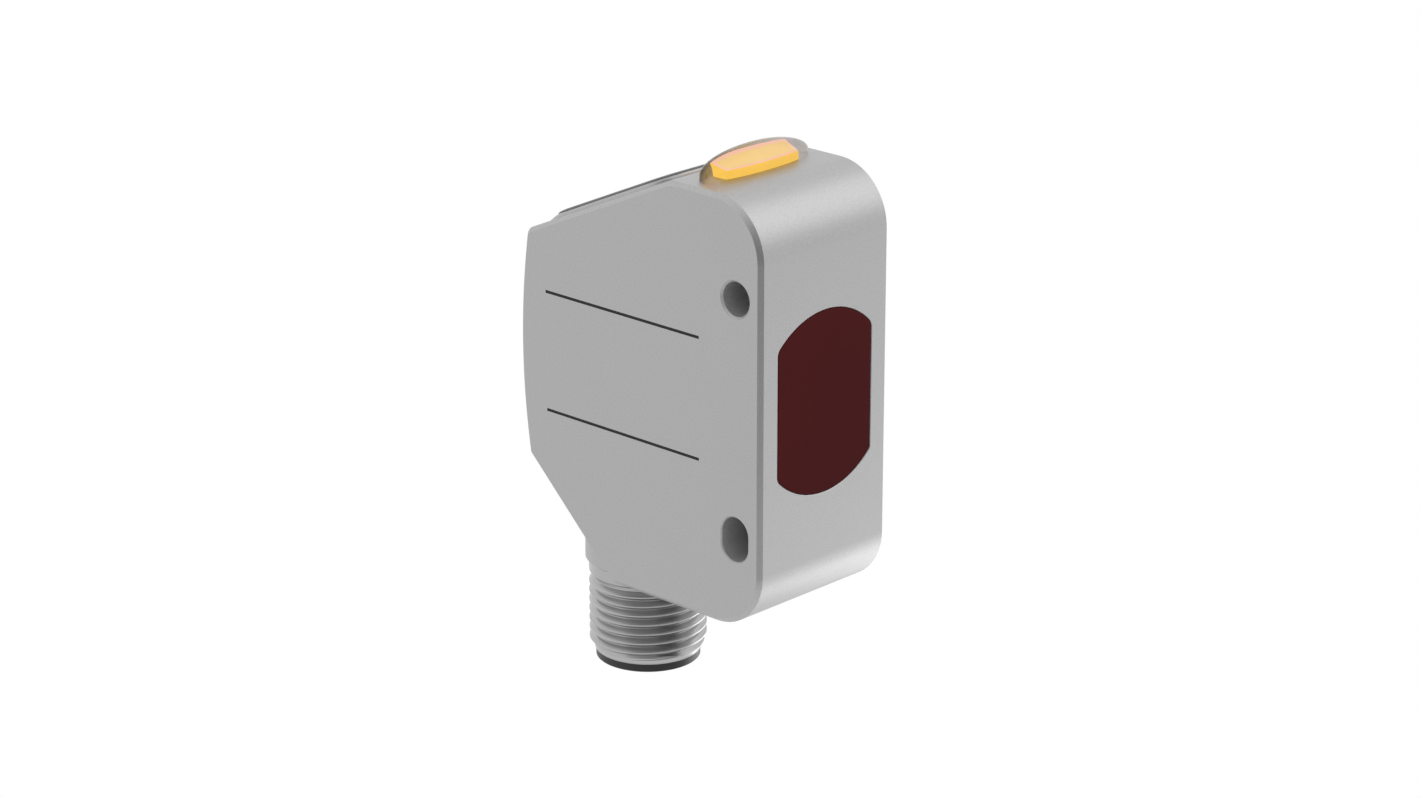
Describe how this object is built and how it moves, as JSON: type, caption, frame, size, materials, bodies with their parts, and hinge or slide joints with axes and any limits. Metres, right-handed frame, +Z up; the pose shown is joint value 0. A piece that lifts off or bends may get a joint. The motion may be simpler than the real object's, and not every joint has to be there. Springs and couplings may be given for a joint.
{
  "type": "laser distance sensor",
  "caption": "Compact flush-mount laser distance sensor: flat steel housing, dark red window, domed indicator, sloped key panel and a round threaded connector.",
  "frame": {"origin": "centre of the round mounting hole, halfway across the width", "axes": "+Z up along the height, away from the connector; the sensing window looks along -Y; X is the width, along both mounting holes"},
  "size_m": [0.018, 0.0325, 0.0566],
  "materials": {
    "stainless_steel": "bead-blasted, fine grain",
    "turned_steel": "turned, bright",
    "screw_steel": "plain bright",
    "window_red": "polished, dark red tinted",
    "lens_clear": "polished, clear",
    "indicator_amber": "lit amber",
    "clear_optics": "polished",
    "panel_dark": "fine matte film",
    "button_grey": "fine matte",
    "display_glass": "smooth, unlit",
    "black_plastic": "moulded",
    "black_rubber": "smooth",
    "brass_parts": "turned",
    "gold_contacts": "gold-plated",
    "circuit_board": "green solder mask",
    "chip_black": "moulded",
    "ribbon_cable": "amber film"
  },
  "bodies": {
    "body": {"housing": "stainless_steel", "side_cover": "stainless_steel", "sensing_window": "window_red", "window_seal": "black_rubber", "optics_carrier": "black_plastic", "carrier_screws": "screw_steel", "laser_barrel": "brass_parts", "collimating_lens": "clear_optics", "laser_diode": "screw_steel", "laser_board": "circuit_board", "receiving_lens": "clear_optics", "lens_retainer": "black_plastic", "image_sensor": "chip_black", "imager_board": "circuit_board", "main_board": "circuit_board", "processor": "chip_black", "board_parts": "chip_black", "board_screws": "screw_steel", "rear_panel": "panel_dark", "panel_seal": "black_rubber", "keypad_membrane": "black_rubber", "key_switches": "chip_black", "digit_display": "display_glass", "display_board": "circuit_board", "display_cable": "ribbon_cable", "indicator_lens": "lens_clear", "indicator_core": "indicator_amber", "indicator_seal": "black_rubber", "indicator_leds": "indicator_amber", "indicator_board": "circuit_board", "indicator_cable": "ribbon_cable", "connector_barrel": "turned_steel", "connector_seal": "black_rubber", "connector_insert": "black_plastic", "contact_pins": "gold_contacts", "connector_board": "circuit_board", "connector_cable": "ribbon_cable", "imager_cable": "ribbon_cable"},
    "select_key": {"button_select": "button_grey"},
    "minus_key": {"button_minus": "button_grey"},
    "plus_key": {"button_plus": "button_grey"}
  },
  "joints": [
    {"name": "press_select", "type": "slide", "parent": "body", "child": "select_key", "axis": [0, -0.4099, -0.9121], "range_m": [0, 0.0004], "stiffness_N_per_m": 1800, "springref_m": -0.0002},
    {"name": "press_minus", "type": "slide", "parent": "body", "child": "minus_key", "axis": [0, -0.4099, -0.9121], "range_m": [0, 0.0004], "stiffness_N_per_m": 1800, "springref_m": -0.0002},
    {"name": "press_plus", "type": "slide", "parent": "body", "child": "plus_key", "axis": [0, -0.4099, -0.9121], "range_m": [0, 0.0004], "stiffness_N_per_m": 1800, "springref_m": -0.0002}
  ]
}
